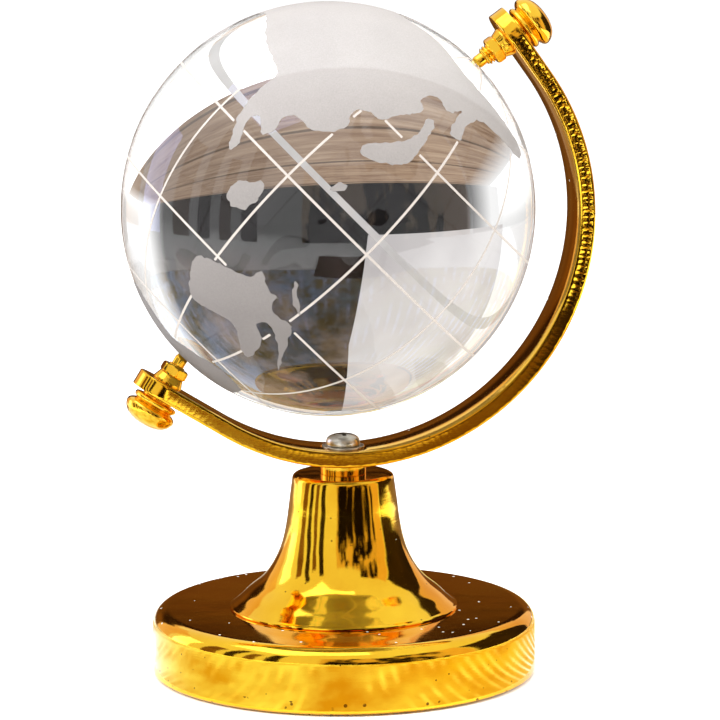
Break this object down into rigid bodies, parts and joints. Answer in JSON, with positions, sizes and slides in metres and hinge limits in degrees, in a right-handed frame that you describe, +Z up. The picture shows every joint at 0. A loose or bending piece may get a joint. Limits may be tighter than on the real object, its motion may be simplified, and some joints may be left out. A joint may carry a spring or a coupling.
{
  "type": "desktop globe on stand",
  "caption": "Solid crystal globe with etched land and map lines, held on a tilted axis between thumb screws in a gold strip bow on a trumpet pedestal and heavy round base.",
  "frame": {"origin": "centre of the round base's underside, where the pad meets the table", "axes": "+Z up; the bow lies in the XZ plane and opens towards -X and up; the ball's upper pole leans towards +X; -Y is the front"},
  "size_m": [0.0688, 0.06, 0.0987],
  "materials": {
    "gold_plate": "bright gold plating, mirror polished",
    "gold_brass": "gold-plated turned brass",
    "core_brass": "plain turned brass",
    "plain_steel": "nickel-plated fasteners",
    "ballast_iron": "rough cast",
    "pad_felt": "dark pressed felt",
    "tip_nylon": "natural nylon",
    "crystal": "polished crystal with sand-blasted land and cut map lines"
  },
  "bodies": {
    "stand": {"base_pad": "pad_felt", "base_shell": "gold_plate", "base_weight": "ballast_iron", "base_screw_washer": "plain_steel", "base_screw": "plain_steel", "pedestal_shell": "gold_plate", "pedestal_core": "core_brass", "bow_spacer": "gold_brass", "bow_arm": "gold_plate", "bow_screw_washer": "plain_steel", "bow_screw": "plain_steel", "upper_cone_collar": "gold_brass", "upper_lock_nut": "gold_brass", "lower_cone_collar": "gold_brass", "lower_lock_nut": "gold_brass"},
    "globe": {"crystal_ball": "crystal"},
    "upper_tip": {"upper_pivot_tip": "tip_nylon"},
    "upper_screw": {"upper_pivot_rod": "gold_brass", "upper_knob": "gold_brass"},
    "lower_tip": {"lower_pivot_tip": "tip_nylon"},
    "lower_screw": {"lower_pivot_rod": "gold_brass", "lower_knob": "gold_brass"}
  },
  "joints": [
    {"name": "globe_spin", "type": "hinge", "parent": "stand", "child": "globe", "pos_m": [-0.002, 0, 0.0687], "axis": [0.7254, 0, 0.6884], "continuous": true},
    {"name": "upper_tip_travel", "type": "slide", "parent": "stand", "child": "upper_tip", "axis": [0.8192, 0, 0.5736], "range_m": [0, 0.002]},
    {"name": "upper_knob_turn", "type": "hinge", "parent": "upper_tip", "child": "upper_screw", "pos_m": [0.02783, 0, 0.0948], "axis": [0.8192, 0, 0.5736], "range_deg": [0, 1440]},
    {"name": "lower_tip_travel", "type": "slide", "parent": "stand", "child": "lower_tip", "axis": [-0.5299, 0, -0.848], "range_m": [0, 0.002]},
    {"name": "lower_knob_turn", "type": "hinge", "parent": "lower_tip", "child": "lower_screw", "pos_m": [-0.02814, 0, 0.04052], "axis": [-0.5299, 0, -0.848], "range_deg": [0, 1440]}
  ],
  "couplings": [
    {"joint": "upper_knob_turn", "follows": "upper_tip_travel", "rad_per_m": 12566},
    {"joint": "lower_knob_turn", "follows": "lower_tip_travel", "rad_per_m": 12566}
  ]
}
